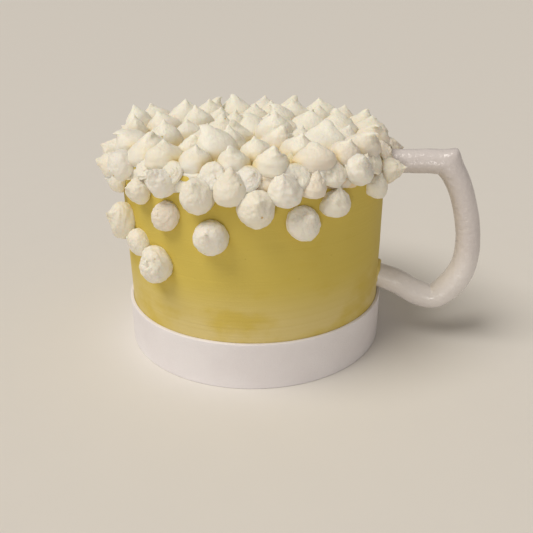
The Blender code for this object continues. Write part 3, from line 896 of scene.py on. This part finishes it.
# %% Web
WEB_START, WEB_END = -165.0, -30.0
WEB_LOW, WEB_HIGH = 0.1045, 0.1146
WEB_THICKNESS, WEB_SINK = 0.0018, 0.0006
WEB_SIDES, WEB_CUTS = 288, 7
LOW_ZONE, LOW_WIDTH, LOW_PULL, LOW_LEVEL = 0.0040, 0.006, 0.0060, 0.50
HIGH_ZONE, HIGH_WIDTH, HIGH_PULL, HIGH_LEVEL = 0.0035, 0.010, 0.0055, 0.75
DRAWN_IN, DRAWN_ZONE, DRAWN_REACH = (0.965, 0.965, 1.0), 0.003, 0.004
FOAM_WIDTH, FOAM_HEIGHT, FOAM_LEVEL = 0.008, 0.0040, 0.45
OWN_UNITS = 60.0
TAN_SPREAD, TAN_SHIFT, TAN_LEAST = 30.0, 3.7, 0.5


def angle_of(point):
    """The angle in degrees at which a point lies round the cake's axis."""
    return math.degrees(math.atan2(point.y, point.x))


def pull_edge(name, wanted, width, strength, mid_level):
    """Pull one edge of the web up and down with a cloud."""
    edit(web)
    pick(web, "verts", wanted)
    bpy.ops.object.vertex_group_assign_new()
    done()
    finish_with(web, "DISPLACE", texture=lumps(name, width), texture_coords="LOCAL", direction="Z",
                strength=strength, mid_level=mid_level, vertex_group=web.vertex_groups[-1].name)


web = add("cylinder", "rim_web", vertices=WEB_SIDES, radius=CAKE_RADIUS - WEB_SINK, depth=WEB_HIGH - WEB_LOW,
          location=(0, 0, (WEB_HIGH + WEB_LOW) / 2), end_fill_type="NOTHING")
settle(web)
edit(web)
pick(web, "faces", lambda face: WEB_END < angle_of(face.calc_center_median()) < 180.0 + WEB_START)
bpy.ops.mesh.delete(type="FACE")
pick(web, "edges", lambda edge: abs(edge.verts[0].co.z - edge.verts[1].co.z) > CLOSE)
bpy.ops.mesh.subdivide(number_cuts=WEB_CUTS)
done()
pull_edge("ragged", lambda vert: vert.co.z < WEB_LOW + LOW_ZONE, LOW_WIDTH, LOW_PULL, LOW_LEVEL)
pull_edge("waves", lambda vert: vert.co.z > WEB_HIGH - HIGH_ZONE, HIGH_WIDTH, HIGH_PULL, HIGH_LEVEL)
edit(web)
pick(web, "verts", lambda vert: vert.co.z > WEB_HIGH - DRAWN_ZONE)
bpy.ops.transform.resize(value=DRAWN_IN, center_override=(0, 0, 0), use_proportional_edit=True,
                         proportional_size=DRAWN_REACH)
done()
finish_with(web, "SOLIDIFY", thickness=WEB_THICKNESS, offset=1.0)
finish_with(web, "SUBSURF", levels=1, render_levels=1)
finish_with(web, "DISPLACE", texture=lumps("foam", FOAM_WIDTH), texture_coords="LOCAL", strength=FOAM_HEIGHT,
            mid_level=FOAM_LEVEL)
note(web, "own_place", points_of(web) * OWN_UNITS)
tans = [max(angle_of(vert.co) / TAN_SPREAD + TAN_SHIFT, TAN_LEAST) for vert in web.data.vertices]
note(web, "own_tone", np.array(tans))
finished(web, meringue, sharp=80.0)

# %% [markdown]
# ## Putting the meringues on
#
# Each place gets a copy of one of the shapes with its own mesh, scaled to its width and height, turned to its
# direction, bent at the tip and sunk a little into the buttercream. The copies of one region are joined into one
# piece. Other seeds pick the shapes and the small ones, so that a change to them doesn't move any other place.

# %% Copies: one meringue to its place
MERINGUE_SINK, TIP_BEND = 0.0012, 0.1
SQUASH, FULLNESS, FULLEST = (0.95, 1.04), (-0.06, 0.10), 1.3
PATTERN_SHIFT = 9


def put(shape, place, draw, lift, mood):
    """Copy a shape to a place. draw bends and turns it as in the solids; mood is its own small differences."""
    foot, direction, diameter, height = place
    sideways = [draw.uniform(-TIP_BEND, TIP_BEND) for _ in range(2)]
    bend = np.array((*sideways, lift)) * diameter
    turn = Matrix.Rotation(draw.uniform(0, math.tau), 3, "Z")
    turned = np.array(direction.to_track_quat("Z", "Y").to_matrix() @ turn)
    copy = shape.copy()
    copy.data = shape.data.copy()
    bpy.context.scene.collection.objects.link(copy)
    points = points_of(copy)
    share = points[:, 2:3].clip(0.0, 1.0)
    squash = mood.uniform(*SQUASH)
    fuller = 1.0 + mood.uniform(*FULLNESS) * np.sin(math.pi * share ** FULLEST)
    size = np.array((diameter * squash, diameter / squash, height))
    points = points * size * np.hstack((fuller, fuller, np.ones_like(share)))
    points = points @ turned.T + np.array(foot - direction * MERINGUE_SINK) + bend * share ** 2
    copy.data.vertices.foreach_set("co", points.ravel())
    note(copy, "own_tone", np.full(len(points), mood.random()))
    shift = (mood.uniform(-PATTERN_SHIFT, PATTERN_SHIFT), mood.uniform(-PATTERN_SHIFT, PATTERN_SHIFT), 0.0)
    copy.data.attributes["own_place"].data.foreach_set("vector", (points_of(shape) + shift).ravel())
    return copy


def join(name, copies):
    """Join copies into one piece."""
    bpy.ops.object.select_all(action="DESELECT")
    for copy in copies:
        copy.select_set(True)
    bpy.context.view_layer.objects.active = copies[0]
    if len(copies) > 1:
        bpy.ops.object.join()
    copies[0].name = copies[0].data.name = name
    return copies[0]

# %% Copies: the heap
HEAD_TIP_LIFT = 0.05
CORNER_FLATTER, FRINGE_NARROWER = 0.7, 0.943
ON_TOP = ("upright", "upright", "slender", "leaning", "pleated", "squat", "curled", "folded", "dented")
IN_CORNER = ("torn", "torn", "folded", "torn", "curled")
OVER_RIM = ("pleated", "slender", "folded", "pleated", "folded", "pleated", "slender", "leaning", "upright", "folded",
            "dented", "squat", "leaning", "pleated", "upright", "squat")

mood = random.Random(SEED + 2)
top_copies = [put(far[mood.choice(ON_TOP)], place, head_draw, HEAD_TIP_LIFT, mood) for place in top]
corner_copies = []
for foot, direction, diameter, height in corner_fill:
    place = (foot, direction, diameter, height * CORNER_FLATTER)
    corner_copies.append(put(near[mood.choice(IN_CORNER)], place, head_draw, HEAD_TIP_LIFT, mood))
fringe_copies = []
for index, (foot, direction, diameter, height) in enumerate(fringe):
    place = (foot, direction, diameter * FRINGE_NARROWER, height)
    fringe_copies.append(put(near[OVER_RIM[index % len(OVER_RIM)]], place, head_draw, HEAD_TIP_LIFT, mood))
small_copies = [put(far[gap_draw.choice(ON_TOP)], place, gap_draw, HEAD_TIP_LIFT, gap_draw) for place in small]
finished(join("top_meringues", top_copies), meringue, "meringue_head", sharp=80.0)
finished(join("small_meringues", small_copies), meringue, sharp=80.0)
finished(join("corner_meringues", corner_copies), meringue, sharp=80.0)
finished(join("rim_meringues", fringe_copies), meringue, sharp=80.0)

# %% Copies: the meringues alone on the wall
LOOSE_TIP_LIFT = 0.12
ON_WALL = (("folded", 1.0), ("squat", 1.0), ("pressed", 1.0), ("pressed", 1.0), ("squat", 1.1), ("dented", 1.22))

for index, (foot, direction, diameter, height) in enumerate(loose):
    kind, taller = ON_WALL[index % len(ON_WALL)]
    copy = put(near[kind], (foot, direction, diameter, height * taller), loose_draw, LOOSE_TIP_LIFT, mood)
    single = join(f"single_meringue_{index + 1:02d}", [copy])
    finished(single, meringue, f"loose_meringue_{index + 1:02d}", sharp=80.0)
for shape in (*far.values(), *near.values()):
    bpy.data.objects.remove(shape, do_unlink=True)

# %% [markdown]
# ## Floor and light
#
# The cake stands on a plain pale floor. A wide sun from the upper left makes its left side bright, a small lamp low
# in front makes the glints on the fondant, and a warm sky fills the shade. The Standard view keeps the colours as
# they are worked out.

# %% Floor
FLOOR_SIZE, FLOOR_DROP = 60.0, 0.0002
PAPER_SCALE, PAPER_RELIEF = 40.0, 0.0001

floor = add("plane", "floor", size=FLOOR_SIZE)
floor.location.z = -FLOOR_DROP
floor_finish = Finish("floor", None, Specular_IOR_Level=0.2)
paper = floor_finish.noise(floor_finish.place(), PAPER_SCALE, 2.0)
floor_tone = floor_finish.mix(paper * 0.3, tone(227, 223, 217), tone(222, 218, 212))
floor_finish.surface(floor_tone, 0.8, paper, PAPER_RELIEF)
floor.data.materials.append(floor_finish.material)
floor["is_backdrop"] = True

# %% Light
LOOKS_AT = Vector((0.0, 0.0, 0.07))
WARM_SKY, SKY_STRENGTH = (1.0, 0.93, 0.85, 1.0), 0.28


def light(name, kind, place, power, colour, **size):
    """Add a light that looks at the middle of the cake."""
    data = bpy.data.lights.new(name, kind)
    data.energy = power
    data.color = colour
    for setting, value in size.items():
        setattr(data, setting, value)
    lamp = bpy.data.objects.new(name, data)
    bpy.context.scene.collection.objects.link(lamp)
    lamp.location = place
    lamp.rotation_euler = (LOOKS_AT - lamp.location).to_track_quat("-Z", "Y").to_euler()
    print("light", name, power)


light("window", "SUN", (-0.80, -0.58, 1.80), 1.98, (1.0, 0.955, 0.885), angle=math.radians(34))
light("glint", "AREA", (0.0, -1.20, 0.10), 1.75, (1.0, 0.97, 0.94), size=0.10)

world = bpy.data.worlds.new("room")
bpy.context.scene.world = world
world.use_nodes = True
sky = world.node_tree.nodes["Background"]
sky.inputs["Color"].default_value = WARM_SKY
sky.inputs["Strength"].default_value = SKY_STRENGTH
bpy.context.scene.view_settings.view_transform = "Standard"

# %% [markdown]
# ## Size
#
# Both boxes, of the solids and of what is shown, are printed. The scene must not be larger
# than the solids.

# %% Measure and finish
shown_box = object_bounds()
boxes = {"solids": [list(corner) for corner in solid_box], "shown": [list(corner) for corner in shown_box]}
print("solids and shown, mm:", [[[round(1000 * v, 1) for v in corner] for corner in box] for box in boxes.values()])
